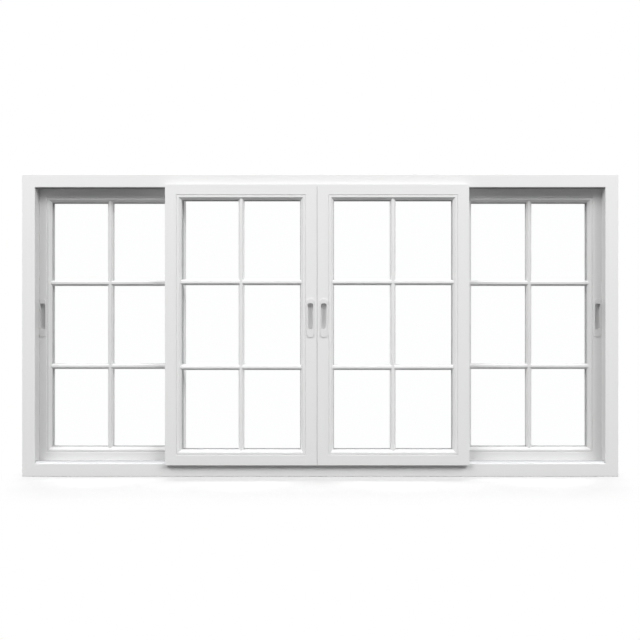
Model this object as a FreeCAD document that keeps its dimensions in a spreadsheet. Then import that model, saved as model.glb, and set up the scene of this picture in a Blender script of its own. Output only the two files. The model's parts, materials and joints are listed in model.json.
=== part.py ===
import FreeCAD, Part
import math
import os
import Sketcher

# Horizontal sliding window: a long white frame with two tracks, two side
# sashes in the back track and a centre pair in the front track. The pair
# stands a little in front of the frame and overlaps its head and sill.
#
# Axes: +X to the right, +Y away from the viewer, +Z up. The origin is the
# middle of the sill's underside. All lengths are in millimetres.
#
# Every member (sill, head, jamb, rail, stile) is drawn in its own frame:
# X runs along its length from one outer corner, Y goes back from its front
# face and Z goes inward from its outer edge. It is then turned into place.

DIMENSIONS = [
    ("frame_width", 2400, "overall width of the outer frame"),
    ("frame_height", 1216, "overall height of the outer frame"),
    ("frame_depth", 106, "depth of the outer frame, front to back"),
    ("lip", 52, "width of the frame's front face"),
    ("back_lip", 14, "thickness of the lip behind the back track"),
    ("channel_drop", 18, "how far the back channel's floor lies below the lip"),
    ("lip_round", 2, "rounding of the frame's front edges"),
    ("stile_lap", 54.75, "how far a centre sash laps a side sash with the pair mid-way"),
    ("sill_overlap", 4, "how far a sash laps below the sill's ledge"),
    ("head_overlap", 9.5, "how far a sash laps above the head's ledge"),
    ("sash_thick", 44, "thickness of a sash, front to back"),
    ("stile_flat", 46, "flat face of a stile, up to the glazing bead"),
    ("rail_flat", 43, "flat face of a sash rail, up to the glazing bead"),
    ("bead_width", 19, "width of the glazing bead"),
    ("flange_thick", 14, "thickness of the flange at a sash's front"),
    ("flange_step", 11.5, "how far the flange reaches past the sash body"),
    ("groove_width", 8, "width of the guide groove along a sash rail"),
    ("groove_depth", 3, "depth of the guide groove"),
    ("groove_centre", 29, "guide groove's middle, back from the sash face"),
    ("sash_round", 1.2, "rounding of a sash's front edges"),
    ("quirk", 1.5, "bevel of the sash face where it meets the bead"),
    ("bead_back", 14, "back of the bead, behind the sash face"),
    ("bead_set", 0.8, "how far the bead's land lies behind the sash face"),
    ("bead_quirk", 2, "bevel of the bead beside the sash face"),
    ("bead_slope", 10, "bevel of the bead toward the glass"),
    ("glass_thick", 16, "thickness of the sealed glass unit"),
    ("glass_clear", 3, "gap round the glass unit in its rebate"),
    ("bar_width", 22, "width of a glazing bar on the glass"),
    ("bar_flat", 8, "width of a glazing bar's flat front"),
    ("bar_rise", 8, "height of a glazing bar above the glass"),
    ("pair_proud", 18, "how far the centre pair stands before the frame face"),
    ("channel_clear", 2, "gap in front of and behind a side sash in its channel"),
    ("pair_shift", 12.5, "how far the pair's meeting line lies to the left"),
    ("pair_gap", 1.5, "gap between the two sashes of the pair"),
    ("seal_set", 3, "meeting seal's front edge behind the pair's face"),
    ("seal_depth", 6, "depth of the meeting seal"),
    ("seal_end", 10, "meeting seal's ends from the sashes' ends"),
    ("side_clear", 4, "mean gap between a side sash and the jamb's channel"),
    ("side_shift", 2, "how far both side sashes stand to the left"),
    ("rail_foot", 16, "width of a track rail's foot"),
    ("rail_foot_thick", 1.5, "thickness of a track rail's foot"),
    ("rail_rib", 5, "thickness of a track rail's rib"),
    ("rib_bevel", 1, "bevel of the rib's top"),
    ("rail_end_gap", 1, "gap between a track rail and a jamb"),
    ("guide_clear", 0.5, "gap over a head guide in the sash groove"),
    ("pull_width", 28, "width of a flush pull's plate"),
    ("pull_height", 156, "height of a flush pull's plate"),
    ("pull_thick", 3, "thickness of the plate"),
    ("pull_bevel", 0.5, "bevel of the plate's front edge"),
    ("centre_pull_inset", 26, "pull's middle line from a meeting stile's outer edge"),
    ("side_pull_inset", 14.4, "side pull's middle line from the jamb of the closed sash"),
    ("pull_bottom", 560, "plate's lower end above the sill's underside"),
    ("cup_width", 22.5, "width of the finger cup"),
    ("cup_height", 104, "height of the finger cup"),
    ("cup_bottom", 33, "cup's lower end above the plate's lower end"),
    ("cup_depth", 18, "depth of the finger cup from the plate's front"),
    ("cup_corner", 8, "rounding of the finger cup's four corners"),
    ("cup_bevel", 1.2, "bevel between the finger cup's floor and its walls"),
    ("cup_wall", 1.5, "wall of the finger cup"),
    ("cup_clear", 0.3, "gap round the cup in the stile"),
]


class Size:
    """A length held both as a number and as the sheet expression behind it."""

    def __init__(self, value, text):
        self.value = value
        self.text = text

    def __add__(self, other):
        other = size(other)
        return Size(self.value + other.value, f"({self.text} + {other.text})")

    def __sub__(self, other):
        other = size(other)
        return Size(self.value - other.value, f"({self.text} - {other.text})")

    def __mul__(self, factor):
        return Size(self.value * factor, f"({self.text} * {factor})")

    def __truediv__(self, divisor):
        return Size(self.value / divisor, f"({self.text} / {divisor})")

    def __neg__(self):
        return Size(-self.value, f"(0 - {self.text})")


def size(value):
    """The value as a Size, whether it is one already or a plain number."""
    if isinstance(value, Size):
        return value
    return Size(value, str(value))


# The sheet of driving dimensions
doc = FreeCAD.newDocument("sliding_window")
sheet = doc.addObject("Spreadsheet::Sheet", "Sizes")
sizes = {}
for row, (alias, value, meaning) in enumerate(DIMENSIONS, start=1):
    sheet.set(f"A{row}", alias)
    sheet.set(f"B{row}", str(value))
    sheet.set(f"C{row}", meaning)
    sheet.setAlias(f"B{row}", alias)
    sizes[alias] = Size(value, f"Sizes.{alias}")
doc.recompute()

ZERO = size(0)
frame_width = sizes["frame_width"]
frame_height = sizes["frame_height"]
frame_depth = sizes["frame_depth"]
lip = sizes["lip"]
sash_thick = sizes["sash_thick"]
bead_width = sizes["bead_width"]

# Levels and positions that follow from the driving dimensions
half_width = frame_width / 2
half_gap = sizes["pair_gap"] / 2
frame_face = -frame_depth / 2
sash_bottom = lip - sizes["sill_overlap"]
sash_top = frame_height - lip + sizes["head_overlap"]
sash_height = sash_top - sash_bottom
channel_floor = lip - sizes["channel_drop"]
side_reach = half_width - channel_floor - sizes["side_clear"]
sash_width = (side_reach + sizes["stile_lap"] - half_gap) / 2
channel_back = frame_depth - sizes["back_lip"]
front_track = channel_back - sash_thick - sizes["channel_clear"] * 2
stile_width = sizes["stile_flat"] + bead_width
rail_width = sizes["rail_flat"] + bead_width
glass_back = sizes["bead_back"] + sizes["glass_thick"]
groove_floor = sizes["flange_step"] + sizes["groove_depth"]
pair_face = frame_face - sizes["pair_proud"]
side_face = frame_face + front_track + sizes["channel_clear"]
pull_level = sizes["pull_bottom"] - sash_bottom


def bind(target, prop, length):
    """Set a property to a length and tie it to the sheet."""
    target.setExpression(prop, length.text)


def new_body(name):
    """An empty body under its node name."""
    body = doc.addObject("PartDesign::Body", name)
    body.Label = name
    return body


def new_sketch(body, name, plane, offset=ZERO):
    """A sketch on one of the body's origin planes, moved along its normal."""
    sketch = body.newObject("Sketcher::SketchObject", name)
    for feature in body.Origin.OriginFeatures:
        if feature.Role == plane:
            sketch.AttachmentSupport = [(feature, "")]
    sketch.MapMode = "FlatFace"
    if offset is not ZERO:
        bind(sketch, "AttachmentOffset.Base.z", offset)
    return sketch


def fix_point(sketch, geometry, point, across, up):
    """Tie one point of a sketch to two lengths from the sketch's origin."""
    for kind, axis, length in (("DistanceX", -2, across), ("DistanceY", -1, up)):
        if length.value == 0:
            sketch.addConstraint(Sketcher.Constraint("PointOnObject", geometry, point, axis))
            continue
        index = sketch.addConstraint(Sketcher.Constraint(kind, -1, 1, geometry, point, length.value))
        bind(sketch, f"Constraints[{index}]", length)


def outline(sketch, corners):
    """Draw a closed outline of straight lines through the given corners."""
    first = sketch.GeometryCount
    count = len(corners)
    points = [FreeCAD.Vector(across.value, up.value, 0) for across, up in corners]
    for i in range(count):
        sketch.addGeometry(Part.LineSegment(points[i], points[(i + 1) % count]), False)
    for i in range(count):
        after = first + (i + 1) % count
        sketch.addConstraint(Sketcher.Constraint("Coincident", first + i, 2, after, 1))
    for i, (across, up) in enumerate(corners):
        fix_point(sketch, first + i, 1, across, up)


def rectangle(sketch, left, bottom, right, top):
    """Draw a rectangle between two corners."""
    outline(sketch, [(left, bottom), (right, bottom), (right, top), (left, top)])


def slot(sketch, start, end, radius):
    """Draw a slot with round ends about two centres, start left of or below end."""
    first = sketch.GeometryCount
    a = FreeCAD.Vector(start[0].value, start[1].value, 0)
    b = FreeCAD.Vector(end[0].value, end[1].value, 0)
    r = radius.value
    heading = math.atan2(b.y - a.y, b.x - a.x)
    side = FreeCAD.Vector(-math.sin(heading) * r, math.cos(heading) * r, 0)
    normal = FreeCAD.Vector(0, 0, 1)
    quarter = math.pi / 2
    start_arc = Part.ArcOfCircle(Part.Circle(a, normal, r), heading + quarter, heading + 3 * quarter)
    end_arc = Part.ArcOfCircle(Part.Circle(b, normal, r), heading - quarter, heading + quarter)
    sketch.addGeometry(start_arc, False)
    sketch.addGeometry(Part.LineSegment(a - side, b - side), False)
    sketch.addGeometry(end_arc, False)
    sketch.addGeometry(Part.LineSegment(b + side, a + side), False)
    for i in range(4):
        after = first + (i + 1) % 4
        sketch.addConstraint(Sketcher.Constraint("Tangent", first + i, 2, after, 1))
    sketch.addConstraint(Sketcher.Constraint("Equal", first, first + 2))
    fix_point(sketch, first, 3, *start)
    fix_point(sketch, first + 2, 3, *end)
    index = sketch.addConstraint(Sketcher.Constraint("Radius", first, r))
    bind(sketch, f"Constraints[{index}]", radius)


def pad(body, sketch, length, backward=False):
    """Extrude a sketch along its normal, or against it when backward."""
    feature = body.newObject("PartDesign::Pad", f"{sketch.Name}_pad")
    feature.Profile = sketch
    bind(feature, "Length", length)
    feature.Reversed = backward
    sketch.Visibility = False
    doc.recompute()
    return feature


def cut_through(body, sketch):
    """Cut a sketch through the whole body, both ways."""
    feature = body.newObject("PartDesign::Pocket", f"{sketch.Name}_cut")
    feature.Profile = sketch
    feature.Type = "ThroughAll"
    feature.Midplane = True
    sketch.Visibility = False
    doc.recompute()
    return feature


def cut_into(body, sketch, depth):
    """Cut a sketch to a depth against its normal."""
    feature = body.newObject("PartDesign::Pocket", f"{sketch.Name}_cut")
    feature.Profile = sketch
    bind(feature, "Length", depth)
    sketch.Visibility = False
    doc.recompute()
    return feature


def soften(body, base, kind, edges, amount):
    """Round ('Fillet') or bevel ('Chamfer') the named edges of a feature."""
    feature = body.newObject(f"PartDesign::{kind}", f"{base.Name}_{kind.lower()}")
    feature.Base = (base, edges)
    bind(feature, "Radius" if kind == "Fillet" else "Size", amount)
    doc.recompute()
    return feature


def edges_where(feature, test):
    """Names of a feature's edges whose every end and middle pass the test."""
    names = []
    for i, edge in enumerate(feature.Shape.Edges, start=1):
        middle = edge.valueAt((edge.FirstParameter + edge.LastParameter) / 2)
        points = [vertex.Point for vertex in edge.Vertexes] + [middle]
        if all(test(point) for point in points):
            names.append(f"Edge{i}")
    return names


def near(a, b):
    """True when two lengths agree to a hundredth of a millimetre."""
    return abs(a - b) < 0.01


def long_edges(feature, places):
    """Edges along X that lie at one of the given depths and heights."""
    def wanted(point):
        return any(near(point.y, y.value) and near(point.z, z.value) for y, z in places)
    return edges_where(feature, wanted)


def place(body, x, y, z, turn=0):
    """Turn a body about Y, then move it to a position tied to the sheet."""
    body.Placement = FreeCAD.Placement(
        FreeCAD.Vector(x.value, y.value, z.value),
        FreeCAD.Rotation(FreeCAD.Vector(0, 1, 0), turn),
    )
    bind(body, "Placement.Base.x", x)
    bind(body, "Placement.Base.y", y)
    bind(body, "Placement.Base.z", z)


def mitre(body, length, corner, width):
    """Cut both ends along the given corners, from the outer edge inward."""
    sketch = new_sketch(body, f"{body.Name}_mitre", "XZ_Plane")
    start = [(ZERO, ZERO)] + corner + [(ZERO, width)]
    outline(sketch, start)
    outline(sketch, [(length - along, up) for along, up in start])
    return cut_through(body, sketch)


def frame_member(name, length, x, z, turn):
    """One mitred side of the outer frame, with its two track ledges."""
    body = new_body(name)
    section = new_sketch(body, f"{name}_section", "YZ_Plane")
    outline(section, [
        (ZERO, ZERO), (ZERO, lip),
        (front_track, lip), (front_track, channel_floor),
        (channel_back, channel_floor), (channel_back, lip),
        (frame_depth, lip), (frame_depth, ZERO),
    ])
    bar = pad(body, section, length)
    front_edges = long_edges(bar, [(ZERO, ZERO), (ZERO, lip)])
    soften(body, bar, "Fillet", front_edges, sizes["lip_round"])
    mitre(body, length, [(lip, lip)], lip)
    place(body, x, frame_face, z, turn)
    return body


def sash_member(name, length, section, width, flat, end_corner):
    """One mitred rail or stile of a sash; its section starts and ends at the outer edge."""
    body = new_body(name)
    sketch = new_sketch(body, f"{name}_section", "YZ_Plane")
    outline(sketch, section)
    bar = pad(body, sketch, length)
    rounded = long_edges(bar, [(ZERO, ZERO), (sash_thick, width), section[-1]])
    bar = soften(body, bar, "Fillet", rounded, sizes["sash_round"])
    soften(body, bar, "Chamfer", long_edges(bar, [(ZERO, flat)]), sizes["quirk"])
    mitre(body, length, end_corner, width)
    return body


def sash_rail(name, x, y, z, turn):
    """A sash rail: flange in front, guide groove in the outer edge, rebate inside."""
    flat = sizes["rail_flat"]
    step = sizes["flange_step"]
    flange = sizes["flange_thick"]
    groove_front = sizes["groove_centre"] - sizes["groove_width"] / 2
    groove_back = sizes["groove_centre"] + sizes["groove_width"] / 2
    section = [
        (ZERO, ZERO), (ZERO, flat), (glass_back, flat), (glass_back, rail_width),
        (sash_thick, rail_width), (sash_thick, step),
        (groove_back, step), (groove_back, groove_floor),
        (groove_front, groove_floor), (groove_front, step),
        (flange, step), (flange, ZERO),
    ]
    corner = [(sizes["stile_flat"], flat), (stile_width, rail_width)]
    body = sash_member(name, sash_width, section, rail_width, flat, corner)
    place(body, x, y, z, turn)
    return body


def sash_stile(name, x, y, z, turn, pull_at=None):
    """A sash stile: full depth to its outer edge, notched at both ends over the ledges."""
    flat = sizes["stile_flat"]
    step = sizes["flange_step"]
    section = [
        (ZERO, ZERO), (ZERO, flat), (glass_back, flat), (glass_back, stile_width),
        (sash_thick, stile_width), (sash_thick, ZERO),
    ]
    corner = [(sizes["rail_flat"], flat), (rail_width, stile_width)]
    body = sash_member(name, sash_height, section, stile_width, flat, corner)
    notch = new_sketch(body, f"{name}_notch", "XY_Plane")
    rectangle(notch, ZERO, sizes["flange_thick"], step, sash_thick)
    rectangle(notch, sash_height - step, sizes["flange_thick"], sash_height, sash_thick)
    cut_through(body, notch)
    if pull_at is not None:
        pocket = new_sketch(body, f"{name}_pull_pocket", "XZ_Plane")
        low, high, middle = pull_at
        margin = sizes["cup_wall"] + sizes["cup_clear"]
        reach = sizes["cup_width"] / 2 + margin
        rectangle(pocket, low - margin, middle - reach, high + margin, middle + reach)
        cut_into(body, pocket, sizes["cup_depth"] - sizes["pull_thick"] + margin)
    place(body, x, y, z, turn)
    return body


def track_rail(name, start, end, y, base, rise, turn):
    """A T-shaped track rail from start to end, standing on or under a ledge."""
    body = new_body(name)
    section = new_sketch(body, f"{name}_section", "YZ_Plane")
    foot = sizes["rail_foot"]
    thick = sizes["rail_foot_thick"]
    rib_front = foot / 2 - sizes["rail_rib"] / 2
    rib_back = foot / 2 + sizes["rail_rib"] / 2
    bevel = sizes["rib_bevel"]
    outline(section, [
        (ZERO, ZERO), (ZERO, thick), (rib_front, thick), (rib_front, rise - bevel),
        (rib_front + bevel, rise), (rib_back - bevel, rise), (rib_back, rise - bevel),
        (rib_back, thick), (foot, thick), (foot, ZERO),
    ])
    pad(body, section, end - start)
    place(body, start if turn == 0 else end, y - foot / 2, base, turn)
    return body


def bead_ring(name, x, y):
    """The glazing bead round one pane: a ring with a quirk and a long slope."""
    body = new_body(name)
    ring = new_sketch(body, f"{name}_ring", "XZ_Plane", -sizes["bead_back"])
    rectangle(ring, sizes["stile_flat"], sizes["rail_flat"],
              sash_width - sizes["stile_flat"], sash_height - sizes["rail_flat"])
    rectangle(ring, stile_width, rail_width, sash_width - stile_width, sash_height - rail_width)
    solid = pad(body, ring, sizes["bead_back"] - sizes["bead_set"])
    front = sizes["bead_set"].value

    def front_edges(stile_inset, rail_inset):
        across = [stile_inset.value, (sash_width - stile_inset).value]
        up = [rail_inset.value, (sash_height - rail_inset).value]

        def on_outline(point):
            return near(point.y, front) and (
                any(near(point.x, value) for value in across)
                or any(near(point.z, value) for value in up)
            )
        return edges_where(solid, on_outline)

    solid = soften(body, solid, "Chamfer", front_edges(stile_width, rail_width), sizes["bead_slope"])
    outer = front_edges(sizes["stile_flat"], sizes["rail_flat"])
    soften(body, solid, "Chamfer", outer, sizes["bead_quirk"])
    place(body, x, y, sash_bottom)
    return body


def bar_section(middle, base, tip):
    """Corners of a glazing bar's section: a wide foot and a narrow flat tip."""
    foot = sizes["bar_width"] / 2
    flat = sizes["bar_flat"] / 2
    return [(middle - foot, base), (middle - flat, tip), (middle + flat, tip), (middle + foot, base)]


def lattice(name, x, y, base, tip, coped):
    """One upright and two level glazing bars, joined, on one face of the glass."""
    body = new_body(name)
    # Coped ends run up the bead's slope as far as the bar's tip
    reach = tip - sizes["bead_set"] if coped else ZERO
    inset = sizes["bead_slope"] - reach if coped else ZERO
    upright = new_sketch(body, f"{name}_upright", "XY_Plane", rail_width - inset)
    outline(upright, bar_section(sash_width / 2, base, tip))
    pad(body, upright, sash_height - rail_width * 2 + inset * 2)
    level = new_sketch(body, f"{name}_level", "YZ_Plane", stile_width - inset)
    pane = (sash_height - rail_width * 2 - sizes["bar_width"] * 2) / 3
    low = rail_width + pane + sizes["bar_width"] / 2
    high = low + pane + sizes["bar_width"]
    for middle in (low, high):
        outline(level, [(depth, up) for up, depth in bar_section(middle, base, tip)])
    pad(body, level, sash_width - stile_width * 2 + inset * 2)
    if coped:
        slope_end = sizes["bead_set"] + sizes["bead_slope"]
        top_cope = new_sketch(body, f"{name}_end_cope", "YZ_Plane")
        cope = [(tip, rail_width - inset), (slope_end, rail_width),
                (base, rail_width), (base, rail_width - inset)]
        outline(top_cope, cope)
        outline(top_cope, [(depth, sash_height - up) for depth, up in cope])
        cut_through(body, top_cope)
        side_cope = new_sketch(body, f"{name}_side_cope", "XY_Plane")
        cope = [(stile_width - inset, tip), (stile_width, slope_end),
                (stile_width, base), (stile_width - inset, base)]
        outline(side_cope, cope)
        outline(side_cope, [(sash_width - across, depth) for across, depth in cope])
        cut_through(body, side_cope)
    place(body, x, y, sash_bottom)
    return body


def glass_unit(name, x, y):
    """The sealed glass unit, held between the bead and the back of the rebate."""
    pane = doc.addObject("Part::Box", name)
    pane.Label = name
    clear = sizes["glass_clear"]
    bind(pane, "Length", sash_width - (sizes["stile_flat"] + clear) * 2)
    bind(pane, "Width", sizes["glass_thick"])
    bind(pane, "Height", sash_height - (sizes["rail_flat"] + clear) * 2)
    place(pane, x + sizes["stile_flat"] + clear, y + sizes["bead_back"],
          sash_bottom + sizes["rail_flat"] + clear)
    return pane


def flush_pull(name, x, y):
    """A flush pull on the middle line x: a long plate with round ends and a deep finger cup."""
    body = new_body(name)
    half = sizes["pull_width"] / 2
    plate = new_sketch(body, f"{name}_plate", "XZ_Plane")
    slot(plate, (half, half), (half, sizes["pull_height"] - half), half)
    solid = pad(body, plate, sizes["pull_thick"])
    front = -sizes["pull_thick"].value
    rim = edges_where(solid, lambda point: near(point.y, front))
    soften(body, solid, "Chamfer", rim, sizes["pull_bevel"])
    left = half - sizes["cup_width"] / 2
    right = half + sizes["cup_width"] / 2
    low = sizes["cup_bottom"]
    high = low + sizes["cup_height"]
    wall = sizes["cup_wall"]
    behind = sizes["cup_depth"] - sizes["pull_thick"]
    shell = new_sketch(body, f"{name}_shell", "XZ_Plane")
    rectangle(shell, left - wall, low - wall, right + wall, high + wall)
    pad(body, shell, behind + wall, backward=True)
    cup = new_sketch(body, f"{name}_cup", "XZ_Plane", sizes["pull_thick"])
    rectangle(cup, left, low, right, high)
    hollow = cut_into(body, cup, sizes["cup_depth"])

    def in_corner(point):
        beside = near(point.x, left.value) or near(point.x, right.value)
        return beside and (near(point.z, low.value) or near(point.z, high.value))

    hollow = soften(body, hollow, "Fillet", edges_where(hollow, in_corner), sizes["cup_corner"])
    floor = edges_where(hollow, lambda point: near(point.y, behind.value))
    soften(body, hollow, "Chamfer", floor, sizes["cup_bevel"])
    place(body, x - half, y, sizes["pull_bottom"])
    return body


def meeting_seal(name, x, y):
    """The soft strip that closes the gap between the two meeting stiles."""
    body = new_body(name)
    back = sizes["seal_set"] + sizes["seal_depth"]
    strip = new_sketch(body, f"{name}_strip", "XZ_Plane", -back)
    rectangle(strip, ZERO, sizes["seal_end"], sizes["pair_gap"], sash_height - sizes["seal_end"])
    pad(body, strip, sizes["seal_depth"])
    place(body, x, y, sash_bottom)
    return body


def sash(name, left, face, left_stile, right_stile, pull_side, inset):
    """One sash: four mitred members, glass, bead, bars on both faces and a pull."""
    right = left + sash_width
    cup_low = pull_level + sizes["cup_bottom"]
    cup_high = cup_low + sizes["cup_height"]
    rising = (cup_low, cup_high, inset) if pull_side == "right" else None
    falling = (sash_height - cup_high, sash_height - cup_low, inset) if pull_side == "left" else None
    pull_x = left + inset if pull_side == "left" else right - inset
    return [
        sash_rail(f"{name}_bottom_rail", left, face, sash_bottom, 0),
        sash_rail(f"{name}_top_rail", right, face, sash_top, 180),
        sash_stile(f"{name}_{left_stile}", left, face, sash_top, 90, falling),
        sash_stile(f"{name}_{right_stile}", right, face, sash_bottom, -90, rising),
        glass_unit(f"{name}_glass", left, face),
        bead_ring(f"{name}_bead", left, face),
        lattice(f"{name}_front_bars", left, face, sizes["bead_back"],
                sizes["bead_back"] - sizes["bar_rise"], True),
        lattice(f"{name}_back_bars", left, face, glass_back,
                glass_back + sizes["bar_rise"], False),
        flush_pull(f"{name}_pull", pull_x, face),
    ]


# The outer frame
nodes = [
    frame_member("frame_sill", frame_width, -half_width, ZERO, 0),
    frame_member("frame_head", frame_width, half_width, frame_height, 180),
    frame_member("frame_left_jamb", frame_height, -half_width, frame_height, 90),
    frame_member("frame_right_jamb", frame_height, half_width, ZERO, -90),
]

# The track rails under the sashes and the guides over them
front_line = pair_face + sizes["groove_centre"]
back_line = side_face + sizes["groove_centre"]
front_end = half_width - lip - sizes["rail_end_gap"]
back_end = half_width - channel_floor - sizes["rail_end_gap"]
rail_top = sash_bottom + groove_floor
guide_tip = frame_height - sash_top + groove_floor - sizes["guide_clear"]
nodes += [
    track_rail("sill_front_rail", -front_end, front_end, front_line, lip, rail_top - lip, 0),
    track_rail("sill_back_rail", -back_end, back_end, back_line, channel_floor,
               rail_top - channel_floor, 0),
    track_rail("head_front_guide", -front_end, front_end, front_line, frame_height - lip,
               guide_tip - lip, 180),
    track_rail("head_back_guide", -back_end, back_end, back_line, frame_height - channel_floor,
               guide_tip - channel_floor, 180),
]

# The four sashes from left to right, with the seal where the pair meets
meeting_line = -sizes["pair_shift"]
side_shift = sizes["side_shift"]
side_pull = half_width - lip - sizes["side_pull_inset"]
centre_inset = sizes["centre_pull_inset"]
nodes += sash("left_side", -side_reach - side_shift, side_face,
              "outer_stile", "inner_stile", "left", side_reach + side_shift - side_pull)
nodes += sash("left_centre", meeting_line - half_gap - sash_width, pair_face,
              "outer_stile", "meeting_stile", "right", centre_inset)
nodes.append(meeting_seal("meeting_seal", meeting_line - half_gap, pair_face))
nodes += sash("right_centre", meeting_line + half_gap, pair_face,
              "meeting_stile", "outer_stile", "left", centre_inset)
nodes += sash("right_side", side_reach - side_shift - sash_width, side_face,
              "inner_stile", "outer_stile", "right", side_reach - side_shift - side_pull)

# Check every object, then write one file for each node
doc.recompute()
for item in doc.Objects:
    if "Invalid" in item.State or "Error" in item.State:
        raise RuntimeError(f"{item.Name} did not build: {item.State}")
os.makedirs("parts", exist_ok=True)
for node in nodes:
    shape = node.Shape
    if shape.isNull() or not shape.isValid() or len(shape.Solids) != 1:
        raise RuntimeError(f"{node.Label} is not one valid solid")
    shape.exportStep(f"parts/{node.Label}.step")
    box = shape.BoundBox
    print(f"{node.Label:30s} {box.XLength:8.1f} {box.YLength:6.1f} {box.ZLength:7.1f} {shape.Volume / 1000:9.1f} cm3")
print(len(nodes), "nodes")
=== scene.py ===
# %% [markdown]
# # A white sliding window in a plain studio
#
# The object is a long sliding window seen straight on. A white outer frame
# carries two tracks. Two side sashes stand in the back track and a pair of
# sashes, closed at the middle, stands a little in front of the frame. Each
# sash has six panes, a moulded bead round the glass and a flush pull.
#
# The solid pieces come ready from the CAD model. This lesson dresses them:
# it gives each one its finish, adds the thin rubber seal round every pane,
# and builds the light, the floor and the camera.

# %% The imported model
import json
import math
import bpy
import numpy as np
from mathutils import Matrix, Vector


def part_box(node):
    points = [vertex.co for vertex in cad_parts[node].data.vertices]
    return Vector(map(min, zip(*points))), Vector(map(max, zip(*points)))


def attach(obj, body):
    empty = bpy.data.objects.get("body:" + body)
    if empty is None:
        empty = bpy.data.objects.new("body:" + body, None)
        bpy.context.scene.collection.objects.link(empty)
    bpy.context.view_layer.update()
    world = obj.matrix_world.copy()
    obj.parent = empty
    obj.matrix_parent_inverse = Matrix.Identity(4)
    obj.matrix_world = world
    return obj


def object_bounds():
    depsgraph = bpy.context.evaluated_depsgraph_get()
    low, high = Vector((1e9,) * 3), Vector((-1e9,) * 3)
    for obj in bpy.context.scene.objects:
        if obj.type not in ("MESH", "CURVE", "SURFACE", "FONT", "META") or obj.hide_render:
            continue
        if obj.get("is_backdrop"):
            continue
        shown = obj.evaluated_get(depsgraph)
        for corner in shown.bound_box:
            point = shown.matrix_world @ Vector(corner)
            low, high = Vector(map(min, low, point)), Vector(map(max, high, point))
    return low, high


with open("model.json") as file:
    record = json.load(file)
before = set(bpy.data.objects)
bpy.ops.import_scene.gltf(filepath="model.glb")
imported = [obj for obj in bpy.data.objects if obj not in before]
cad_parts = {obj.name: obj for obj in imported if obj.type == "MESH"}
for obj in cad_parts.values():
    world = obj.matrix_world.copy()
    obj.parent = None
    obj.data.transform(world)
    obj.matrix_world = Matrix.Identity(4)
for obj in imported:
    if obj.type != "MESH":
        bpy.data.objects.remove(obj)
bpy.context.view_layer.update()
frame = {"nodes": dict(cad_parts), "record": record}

print(len(frame["nodes"]), "solid pieces")

# %% [markdown]
# ## Names and sizes used all through
#
# The four sashes have the same pieces, so their names are made by joining a
# sash name to a piece name. The few sizes below are read from the model
# itself, so a seal always lies where its bead and glass really are.

# %% Sashes and their glass
SASHES = ("left_side", "left_centre", "right_centre", "right_side")


def box_size(node):
    """Length, depth and height of a piece's box."""
    low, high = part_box(node)
    return np.array(high) - np.array(low)


def sash_box(sash):
    """Corners of a sash: its bottom rail's low one and its top rail's high one."""
    low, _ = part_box(f"{sash}_bottom_rail")
    _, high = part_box(f"{sash}_top_rail")
    return np.array(low), np.array(high)


STILE_WIDTH = box_size("left_side_outer_stile")[0]
RAIL_WIDTH = box_size("left_side_bottom_rail")[2]
print("stile", round(float(STILE_WIDTH), 4), "rail", round(float(RAIL_WIDTH), 4))
for sash in SASHES:
    low, high = sash_box(sash)
    print(sash, "from", low.round(4), "to", high.round(4))

# %% [markdown]
# ## A small kit for node networks
#
# A finish is a material: a network of nodes that ends in a shader. Much of
# such a network is plain sums on numbers and vectors. A few helpers make one
# node each, feed it and hand back its result, so that a network reads like
# the formula it stands for.

# %% Sums as nodes
def feed(links, socket, value):
    """Links a socket to another one, or sets it to a plain value."""
    if isinstance(value, bpy.types.NodeSocket):
        links.new(value, socket)
    else:
        socket.default_value = value


def number_step(nodes, links, operation, *values):
    """The operation on the given numbers, as one Math node."""
    step = nodes.new("ShaderNodeMath")
    step.operation = operation
    for socket, value in zip(step.inputs, values):
        feed(links, socket, value)
    return step.outputs["Value"]


def vector_step(nodes, links, operation, *values, result="Vector"):
    """The operation on the given vectors, as one Vector Math node."""
    step = nodes.new("ShaderNodeVectorMath")
    step.operation = operation
    for socket, value in zip(step.inputs, values):
        feed(links, socket, value)
    return step.outputs[result]


def smooth_step(nodes, links, value, start, end):
    """Nought up to start, one from end on, and an even S curve between."""
    step = nodes.new("ShaderNodeMapRange")
    step.interpolation_type = "SMOOTHSTEP"
    step.inputs["From Min"].default_value = start
    step.inputs["From Max"].default_value = end
    links.new(value, step.inputs["Value"])
    return step.outputs["Result"]


def mix_shaders(nodes, links, share, first, second):
    """The first shader where share is nought, the second where it is one."""
    mix = nodes.new("ShaderNodeMixShader")
    links.new(share, mix.inputs["Fac"])
    links.new(first, mix.inputs[1])
    links.new(second, mix.inputs[2])
    return mix.outputs["Shader"]


print("five helpers for networks")

# %% [markdown]
# ## A small kit for finishes
#
# Every solid finish here starts from the same Principled shader, so one
# helper makes it and sets the plain numbers straight on the shader's sockets.
# Patterns are read from Object coordinates, which are the real place of a
# point in metres. That keeps a pattern the same size on every piece.

# %% Helpers for finishes
def new_finish(name, colour, roughness, specular=0.5, metallic=0.0):
    """A Principled material of one colour, with its nodes, links and shader."""
    material = bpy.data.materials.new(name)
    material.use_nodes = True
    nodes = material.node_tree.nodes
    links = material.node_tree.links
    shader = nodes["Principled BSDF"]
    shader.inputs["Base Color"].default_value = (*colour, 1.0)
    shader.inputs["Roughness"].default_value = roughness
    shader.inputs["Specular IOR Level"].default_value = specular
    shader.inputs["Metallic"].default_value = metallic
    return material, nodes, links, shader


def object_place(nodes):
    """The place of each point in metres, in the window's own frame."""
    return nodes.new("ShaderNodeTexCoord").outputs["Object"]


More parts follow.
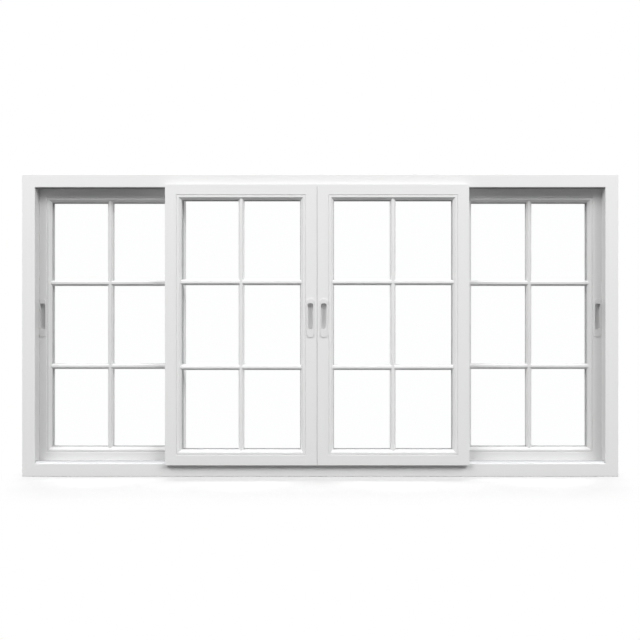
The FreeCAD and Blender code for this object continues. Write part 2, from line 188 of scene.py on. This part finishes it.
def add_noise(nodes, links, scale, detail=2.0):
    """Cloudy noise on the place: scale is about how many blotches fit in a metre."""
    noise = nodes.new("ShaderNodeTexNoise")
    noise.inputs["Scale"].default_value = scale
    noise.inputs["Detail"].default_value = detail
    links.new(object_place(nodes), noise.inputs["Vector"])
    return noise


def roughen(nodes, links, shader, noise, low, high):
    """Lets the noise carry the shader's roughness from low to high."""
    spread = nodes.new("ShaderNodeMapRange")
    spread.inputs["To Min"].default_value = low
    spread.inputs["To Max"].default_value = high
    links.new(noise.outputs["Fac"], spread.inputs["Value"])
    links.new(spread.outputs["Result"], shader.inputs["Roughness"])


def ripple(nodes, links, shader, noise, depth):
    """Raises the surface by the noise, at most depth metres, as light sees it."""
    bump = nodes.new("ShaderNodeBump")
    bump.inputs["Strength"].default_value = 1.0
    bump.inputs["Distance"].default_value = depth
    links.new(noise.outputs["Fac"], bump.inputs["Height"])
    links.new(bump.outputs["Normal"], shader.inputs["Normal"])


def blend_colour(material, share, second_colour):
    """Mixes the shader's colour into second_colour by a share of nought to one."""
    nodes = material.node_tree.nodes
    links = material.node_tree.links
    colour = nodes["Principled BSDF"].inputs["Base Color"]
    mix = nodes.new("ShaderNodeMix")
    mix.data_type = "RGBA"
    mix.inputs["A"].default_value = colour.default_value
    mix.inputs["B"].default_value = (*second_colour, 1.0)
    links.new(share, mix.inputs["Factor"])
    links.new(mix.outputs["Result"], colour)


print("six helpers for finishes")

# %% [markdown]
# ## White extruded plastic
#
# The frame and the sashes are extruded from white rigid plastic. Its skin is
# satin: it takes a broad, soft shine and has a faint orange peel from the
# cooling die. A flat colour would look like paper, so a very shallow noise
# bends the highlights, and a slower one varies the gloss a little.
#
# The side sashes stand back in the frame and read a shade greyer than the pair,
# and the frame is greyer inside its tracks than on its face. Both greys are
# shade, painted here into the colour. The side sashes get their own slightly
# deeper white, which is painted shade. On the frame the white changes with the
# place: a box is laid in it, a little smaller than the frame all round. Outside
# the box lie the faces that look out, and they are white. Inside it lie the
# tracks, which take a deeper tone a few millimetres below the skin: painted
# shade.

# %% The white profiles
WHITE = (0.82, 0.82, 0.82)
# Painted shade: the side sashes' whites are darker to stand for the shade they stand in.
SIDE_SHADE_WHITE = (0.76, 0.76, 0.76)
SIDE_SHADE_BEAD_WHITE = (0.73, 0.73, 0.73)
PULL_WHITE = (0.78, 0.78, 0.78)
SIDE_SHADE_PULL_WHITE = (0.70, 0.70, 0.70)
GLOSS_SCALE = 6.0
PEEL_SCALE = 260.0
PROFILE_PEEL = 0.00001
BEAD_PEEL = 0.000006
PULL_PEEL = 0.000004
FRAME_ROUGH = (0.38, 0.46)
SASH_ROUGH = (0.36, 0.44)
BEAD_ROUGH = (0.34, 0.42)
PULL_ROUGH = (0.26, 0.32)


def white_plastic(name, colour, rough, peel):
    """Satin plastic: slow noise for the gloss, fine noise of height peel for the skin."""
    material, nodes, links, shader = new_finish(name, colour, rough[0])
    roughen(nodes, links, shader, add_noise(nodes, links, GLOSS_SCALE), *rough)
    ripple(nodes, links, shader, add_noise(nodes, links, PEEL_SCALE), peel)
    return material


frame_white_and_track_shade = white_plastic("frame white plastic with painted track shade", WHITE, FRAME_ROUGH, PROFILE_PEEL)
sash_white = white_plastic("sash white plastic", WHITE, SASH_ROUGH, PROFILE_PEEL)
side_shaded_white = white_plastic("side sash white with painted shade", SIDE_SHADE_WHITE, SASH_ROUGH, PROFILE_PEEL)
bead_white = white_plastic("bead white plastic", WHITE, BEAD_ROUGH, BEAD_PEEL)
side_shaded_bead_white = white_plastic(
    "side bead white with painted shade", SIDE_SHADE_BEAD_WHITE, BEAD_ROUGH, BEAD_PEEL)
pull_white = white_plastic("pull white plastic", PULL_WHITE, PULL_ROUGH, PULL_PEEL)
side_shaded_pull_white = white_plastic(
    "side pull white with painted shade", SIDE_SHADE_PULL_WHITE, PULL_ROUGH, PULL_PEEL)
print("seven white finishes")

# %% Painted shade inside the tracks
# Painted shade: the grey the frame's white takes inside its tracks.
TRACK_SHADE_COLOUR = (0.66, 0.66, 0.66)
TRACK_SHADE_CENTRE = (0.0, 0.0, 0.608)
TRACK_SHADE_HALF_SIZE = (1.18, 0.0525, 0.588)
TRACK_SHADE_EDGE = 0.0025


def paint_box_shade(material, centre, half_size, edge, box_shade_colour):
    """Paints shade inside a box: mixes the colour into a darker colour there.

    The share is a smooth step over edge metres of the depth below the box's
    skin. That depth is the least, over the three axes, of the half size minus
    the distance from the centre.
    """
    nodes = material.node_tree.nodes
    links = material.node_tree.links
    offset = vector_step(nodes, links, "SUBTRACT", object_place(nodes), centre)
    distance = vector_step(nodes, links, "ABSOLUTE", offset)
    below = vector_step(nodes, links, "SUBTRACT", half_size, distance)
    split = nodes.new("ShaderNodeSeparateXYZ")
    links.new(below, split.inputs["Vector"])
    depth = number_step(nodes, links, "MINIMUM", split.outputs["X"], split.outputs["Z"])
    depth = number_step(nodes, links, "MINIMUM", depth, split.outputs["Y"])
    blend_colour(material, smooth_step(nodes, links, depth, 0.0, edge), box_shade_colour)


# Painted shade: the frame's white turns grey inside its tracks.
paint_box_shade(frame_white_and_track_shade, TRACK_SHADE_CENTRE, TRACK_SHADE_HALF_SIZE, TRACK_SHADE_EDGE, TRACK_SHADE_COLOUR)
print("frame white with painted shade inside", [2 * round(v, 4) for v in TRACK_SHADE_HALF_SIZE], "m")

# %% [markdown]
# ## Clear glass
#
# A window pane is flat on both faces, so it hardly moves what is seen through
# it. A full refracting glass would cost long, noisy light paths for nothing.
# The usual way out is to mix a Transparent shader with a mirror by the
# Fresnel law: head on the pane shows what is behind it, at a slant it shines.
# Rays are not bent here, so a slanting ray that leaves the pane from inside
# would wrongly be thrown back. The mirror is therefore kept for faces seen
# from outside, and all light that has come in goes out again.

# %% The glass finish
GLASS_TINT = (0.997, 1.0, 0.999, 1.0)
GLASS_INDEX = 1.45


def clear_glass(name):
    """Clear head on, a mirror at a slant: the Fresnel share, times nought from inside."""
    material = bpy.data.materials.new(name)
    material.use_nodes = True
    nodes = material.node_tree.nodes
    links = material.node_tree.links
    nodes.remove(nodes["Principled BSDF"])
    through = nodes.new("ShaderNodeBsdfTransparent")
    through.inputs["Color"].default_value = GLASS_TINT
    shine = nodes.new("ShaderNodeBsdfGlossy")
    shine.inputs["Roughness"].default_value = 0.0
    fresnel = nodes.new("ShaderNodeFresnel")
    fresnel.inputs["IOR"].default_value = GLASS_INDEX
    inside = nodes.new("ShaderNodeNewGeometry").outputs["Backfacing"]
    outside = number_step(nodes, links, "SUBTRACT", 1.0, inside)
    share = number_step(nodes, links, "MULTIPLY", fresnel.outputs["Fac"], outside)
    pane = mix_shaders(nodes, links, share, through.outputs["BSDF"], shine.outputs["BSDF"])
    links.new(pane, nodes["Material Output"].inputs["Surface"])
    return material


glass = clear_glass("clear window glass")
print("glass with an index of", GLASS_INDEX)

# %% [markdown]
# ## Metal track and rubber
#
# The rails that the sashes run on are aluminium with a satin, slightly drawn
# surface. The crown of each rail is painted a duller grey, a painted shade that
# keeps the crown from shining bright. The guides over the sashes are plastic,
# and their dark grey is painted shade under the head of the frame. The seals
# are soft rubber in pale grey, so they hardly show beside the white bead.

# %% Track metal
RAIL_METAL = (0.72, 0.73, 0.74)
RAIL_ROUGH = (0.38, 0.50)
RAIL_MEAN_ROUGH = 0.44
DRAWN_SCALE = 40.0
# Painted shade: the darker grey painted on the crown of each rail.
CROWN_SHADE_GREY = (0.30, 0.30, 0.31)
CROWN_SHADE_DEPTH = 0.0016


def drawn_metal(name, colour):
    """Satin aluminium whose gloss varies along its length, as a drawn rail's does."""
    material, nodes, links, shader = new_finish(name, colour, RAIL_MEAN_ROUGH, metallic=1.0)
    roughen(nodes, links, shader, add_noise(nodes, links, DRAWN_SCALE), *RAIL_ROUGH)
    return material


def paint_crown_shade(material, top, depth, crown_shade_colour):
    """Paints shade on a crown: mixes the colour into a darker colour by a smooth step of
    height.

    The step starts depth metres below top and ends half as far below it.
    """
    nodes = material.node_tree.nodes
    links = material.node_tree.links
    split = nodes.new("ShaderNodeSeparateXYZ")
    links.new(object_place(nodes), split.inputs["Vector"])
    share = smooth_step(nodes, links, split.outputs["Z"], top - depth, top - depth / 2)
    blend_colour(material, share, crown_shade_colour)


track_metal = drawn_metal("track aluminium with painted crown shade", RAIL_METAL)
rail_top = float(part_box("sill_front_rail")[1][2])
# Painted shade: the top of each rail turns a darker grey.
paint_crown_shade(track_metal, rail_top, CROWN_SHADE_DEPTH, CROWN_SHADE_GREY)
print("rail crowns at", round(rail_top, 4), "m")

# %% Guide plastic and rubber
# Painted shade: the guides' dark grey stands for the deep shade under the head.
GUIDE_SHADE_GREY = (0.30, 0.30, 0.31)
GUIDE_ROUGH = (0.50, 0.60)
SEAL_GREY = (0.55, 0.55, 0.56)
SEAL_ROUGH = 0.7
SEAL_SPECULAR = 0.35
GRAIN_SCALE = 900.0
GRAIN_DEPTH = 0.00002


def soft_rubber(name, colour):
    """Matt rubber with a fine grain."""
    material, nodes, links, shader = new_finish(
        name, colour, SEAL_ROUGH, specular=SEAL_SPECULAR)
    ripple(nodes, links, shader, add_noise(nodes, links, GRAIN_SCALE), GRAIN_DEPTH)
    return material


guide_grey = white_plastic("guide plastic in painted shade grey", GUIDE_SHADE_GREY, GUIDE_ROUGH, PROFILE_PEEL)
seal_grey = soft_rubber("pale grey rubber", SEAL_GREY)
print("guide plastic and rubber")

# %% [markdown]
# ## Giving each solid its finish
#
# The record of the model names a slot for each piece, such as white frame or
# clear glass. A solid keeps its mesh and only gets a better material in its
# slots. The pieces of the two side sashes take the deeper whites, which paint
# the shade they stand in.

# %% Dress the solids
FINISHES = {
    "white_frame": frame_white_and_track_shade,
    "white_sash": sash_white,
    "white_bead": bead_white,
    "white_pull": pull_white,
    "clear_glass": glass,
    "track_metal": track_metal,
    "guide_grey": guide_grey,
    "seal_grey": seal_grey,
}
# Painted shade: the side sashes take the darker whites that stand for their shade.
SHADE_PAINTED_SIDE_FINISHES = {
    **FINISHES,
    "white_sash": side_shaded_white,
    "white_bead": side_shaded_bead_white,
    "white_pull": side_shaded_pull_white,
}
for entry in frame["record"]["subparts"]:
    in_painted_side_shade = entry["node"].startswith(("left_side", "right_side"))
    finish = (SHADE_PAINTED_SIDE_FINISHES if in_painted_side_shade else FINISHES)[entry["material_slot"]]
    for slot in frame["nodes"][entry["node"]].material_slots:
        slot.material = finish

# %% [markdown]
# ## Glazing seals
#
# A bead never touches the glass dry: a thin rubber seal fills the joint and
# shows as a fine line round each pane. It has one small section carried round
# a rectangle. So its surface is a function of two things, which corner of the
# rectangle and which point of the section, and numpy can work out all points
# at once.

# %% A section carried round a rectangle
def ring_points(low, high, section):
    """Each section point (inset, depth) drawn as a rectangle inside low-high.

    A corner of the rectangle is the corner of low-high moved inward by the
    inset along X and along Z, and it lies at the depth.
    """
    corner = np.array([
        [low[0], low[2]], [high[0], low[2]], [high[0], high[2]], [low[0], high[2]],
    ])
    inward = np.array([[1, 1], [-1, 1], [-1, -1], [1, -1]])
    flat = corner[:, None, :] + inward[:, None, :] * section[None, :, :1]
    depth = np.broadcast_to(section[None, :, 1], flat.shape[:2])
    return np.stack([flat[..., 0], depth, flat[..., 1]], axis=-1)


def closed_grid_faces(rows, columns):
    """Quads of a grid that closes on itself both ways."""
    i, j = np.meshgrid(np.arange(rows), np.arange(columns), indexing="ij")
    a = i * columns + j
    b = ((i + 1) % rows) * columns + j
    c = ((i + 1) % rows) * columns + (j + 1) % columns
    d = i * columns + (j + 1) % columns
    return np.stack([a, b, c, d], axis=-1).reshape(-1, 4)


def new_piece(name, points, faces, finish):
    """A mesh object in the model's own place, riding on the window."""
    mesh = bpy.data.meshes.new(name)
    mesh.from_pydata(points.reshape(-1, 3).tolist(), [], faces.tolist())
    mesh.materials.append(finish)
    mesh.update()
    piece = bpy.data.objects.new(name, mesh)
    bpy.context.scene.collection.objects.link(piece)
    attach(piece, "root")
    return piece


# %% Seals on both faces of each glass
SEAL_WIDTH = 0.0022
SEAL_RISE = 0.0014
SEAL_POINTS = 9


def seal_section(face, outward):
    """A half round on the face: its height is SEAL_RISE times the sine of the angle."""
    angle = np.linspace(0.0, math.pi, SEAL_POINTS)
    across = SEAL_WIDTH * (0.5 - 0.5 * np.cos(angle))
    height = face + outward * SEAL_RISE * np.sin(angle)
    return np.column_stack([across, height])


member_inset = np.array([STILE_WIDTH, 0.0, RAIL_WIDTH])
for sash in SASHES:
    low, high = sash_box(sash)
    glass_low, glass_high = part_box(f"{sash}_glass")
    sides = (("front", glass_low[1], -1.0), ("back", glass_high[1], 1.0))
    for side, face, outward in sides:
        section = seal_section(face, outward)
        if outward > 0:
            section = section[::-1]
        points = ring_points(low + member_inset, high - member_inset, section)
        faces = closed_grid_faces(*points.shape[:2])
        new_piece(f"{sash}_{side}_glazing_seal", points, faces, seal_grey)
print("eight glazing seals")

# %% [markdown]
# ## Light, floor and background
#
# The picture is lit from high up in front by broad soft light, so faces that
# look up are brightest, faces that look at the viewer are nearly as bright,
# and the undersides are dark. Two large area lamps do that, one to each side:
# by each jamb the window's own depth hides one of them, which gives the side
# sashes a soft shade toward the frame and leaves the middle bright. A third
# lamp, wide and less strong, stands high behind the window. It lights the
# inner walls that are seen through the panes, and the back. The floor and the
# world are white only for the camera, for mirrors and for rays that pass
# through glass. For all other rays they are dim, so they throw no light up
# under the head of the frame.

# %% The world
AMBIENT = 0.10
PLAIN_WHITE = (1.0, 1.0, 1.0, 1.0)


def seen_directly(nodes, links):
    """One where a ray comes from the camera, a mirror or through glass, else nought."""
    path = nodes.new("ShaderNodeLightPath").outputs
    seen = number_step(nodes, links, "MAXIMUM", path["Is Camera Ray"], path["Is Glossy Ray"])
    return number_step(nodes, links, "MAXIMUM", seen, path["Is Transmission Ray"])


scene = bpy.context.scene
world = bpy.data.worlds.new("studio")
world.use_nodes = True
scene.world = world
world_nodes = world.node_tree.nodes
world_links = world.node_tree.links
ambient = world_nodes["Background"]
ambient.inputs["Color"].default_value = PLAIN_WHITE
ambient.inputs["Strength"].default_value = AMBIENT
white = world_nodes.new("ShaderNodeBackground")
white.inputs["Color"].default_value = PLAIN_WHITE
white.inputs["Strength"].default_value = 1.0
studio = mix_shaders(
    world_nodes, world_links, seen_directly(world_nodes, world_links),
    ambient.outputs["Background"], white.outputs["Background"])
world_links.new(studio, world_nodes["World Output"].inputs["Surface"])
print("world strength", AMBIENT, "and 1.0 where it is seen")

# %% [markdown]
# ## The floor
#
# The floor is a plain pale sheet that keeps the window's soft shadow. A
# shadow lies close to the thing that throws it, so the pale sheet is only
# needed there. With the distance from the window's foot it fades into the
# same white as the world, and no horizon shows behind the panes. Toward the
# two ends it fades sooner, because less shadow falls there: from a metre off
# the middle on, the distance along the window counts double.

# %% The floor's finish
FLOOR_PALE = (0.66, 0.66, 0.66, 1.0)
FLOOR_DIM = (0.15, 0.15, 0.15, 1.0)
FADE_START = 0.15
FADE_END = 0.55
EVEN_LENGTH = 1.0
END_STRETCH = 2.0


def add_diffuse(nodes, colour):
    """A matt shader of one colour."""
    shader = nodes.new("ShaderNodeBsdfDiffuse")
    shader.inputs["Color"].default_value = colour
    return shader.outputs["BSDF"]


def distance_from_foot(nodes, links):
    """How far a point of the floor lies from the window's middle stretch.

    It is the length of the vector that has END_STRETCH times what |x| has over
    EVEN_LENGTH, nought where it has less, and |y|.
    """
    away = vector_step(nodes, links, "ABSOLUTE", object_place(nodes))
    past = vector_step(nodes, links, "SUBTRACT", away, (EVEN_LENGTH, 0.0, 0.0))
    beside = vector_step(nodes, links, "MAXIMUM", past, (0.0, 0.0, 0.0))
    stretched = vector_step(nodes, links, "MULTIPLY", beside, (END_STRETCH, 1.0, 1.0))
    return vector_step(nodes, links, "LENGTH", stretched, result="Value")


floor_material = bpy.data.materials.new("pale floor")
floor_material.use_nodes = True
floor_nodes = floor_material.node_tree.nodes
floor_links = floor_material.node_tree.links
floor_nodes.remove(floor_nodes["Principled BSDF"])
floor_far = floor_nodes.new("ShaderNodeEmission")
floor_far.inputs["Color"].default_value = PLAIN_WHITE
floor_far.inputs["Strength"].default_value = 1.0
floor_distance = distance_from_foot(floor_nodes, floor_links)
floor_fade = smooth_step(floor_nodes, floor_links, floor_distance, FADE_START, FADE_END)
floor_shown = mix_shaders(
    floor_nodes, floor_links, floor_fade,
    add_diffuse(floor_nodes, FLOOR_PALE), floor_far.outputs["Emission"])
floor_surface = mix_shaders(
    floor_nodes, floor_links, seen_directly(floor_nodes, floor_links),
    add_diffuse(floor_nodes, FLOOR_DIM), floor_shown)
floor_links.new(floor_surface, floor_nodes["Material Output"].inputs["Surface"])
print("floor fades from", FADE_START, "to", FADE_END, "m")

# %% The floor's sheet
FLOOR_SIZE = 40.0
half = FLOOR_SIZE / 2
floor_corners = [(-half, -half, 0), (half, -half, 0), (half, half, 0), (-half, half, 0)]
floor_mesh = bpy.data.meshes.new("floor")
floor_mesh.from_pydata(floor_corners, [], [(0, 1, 2, 3)])
floor_mesh.materials.append(floor_material)
floor = bpy.data.objects.new("floor", floor_mesh)
scene.collection.objects.link(floor)
floor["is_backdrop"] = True
print("floor", FLOOR_SIZE, "m square")

# %% The lamps
LAMP_AIM = (0.0, 0.0, 0.6)
LAMPS = (
    # name, place, width, height, power
    ("left lamp", (-7.0, -6.2, 8.2), 8.0, 5.0, 1160.0),
    ("right lamp", (7.0, -6.2, 8.2), 8.0, 5.0, 1160.0),
    ("back lamp", (0.0, 6.0, 8.0), 12.0, 3.0, 800.0),
)


def soft_lamp(name, place, aim, width, height, power):
    """A rectangular area lamp at place, turned to face aim."""
    lamp = bpy.data.lights.new(name, "AREA")
    lamp.shape = "RECTANGLE"
    lamp.size = width
    lamp.size_y = height
    lamp.energy = power
    holder = bpy.data.objects.new(name, lamp)
    scene.collection.objects.link(holder)
    holder.location = place
    direction = np.array(aim) - np.array(place)
    flat = math.hypot(direction[0], direction[1])
    tilt = math.atan2(flat, -direction[2])
    turn = math.atan2(-direction[0], direction[1])
    holder.rotation_euler = (tilt, 0.0, turn)
    return holder


for lamp_name, place, width, height, power in LAMPS:
    soft_lamp(lamp_name, place, LAMP_AIM, width, height, power)
    print(lamp_name, power, "W")

# %% [markdown]
# ## The camera
#
# The picture is taken square on, from about three metres, with the lens at
# half the window's height, so the frame's edges stay upright and parallel.

# %% Camera
FRAME_FACE = -0.053
DISTANCE = 2.95
CAMERA_X = -0.0008
CAMERA_HEIGHT = 0.630
METRES_PER_PIXEL = 0.004024
IMAGE_SIDE = 640
SENSOR = 36.0
camera_data = bpy.data.cameras.new("camera")
camera_data.sensor_width = SENSOR
camera_data.lens = SENSOR * DISTANCE / (METRES_PER_PIXEL * IMAGE_SIDE)
camera = bpy.data.objects.new("camera", camera_data)
camera.location = (CAMERA_X, FRAME_FACE - DISTANCE, CAMERA_HEIGHT)
camera.rotation_euler = (math.pi / 2, 0.0, 0.0)
scene.collection.objects.link(camera)
scene.camera = camera
scene.view_settings.view_transform = "Standard"
print("lens", round(camera_data.lens, 2), "mm")

# %% [markdown]
# ## The dressed window's box
#
# The dressed window must fill the same box as the CAD model, so its box is
# worked out before the scene is closed.

# %% Sizes and finish
low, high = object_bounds()
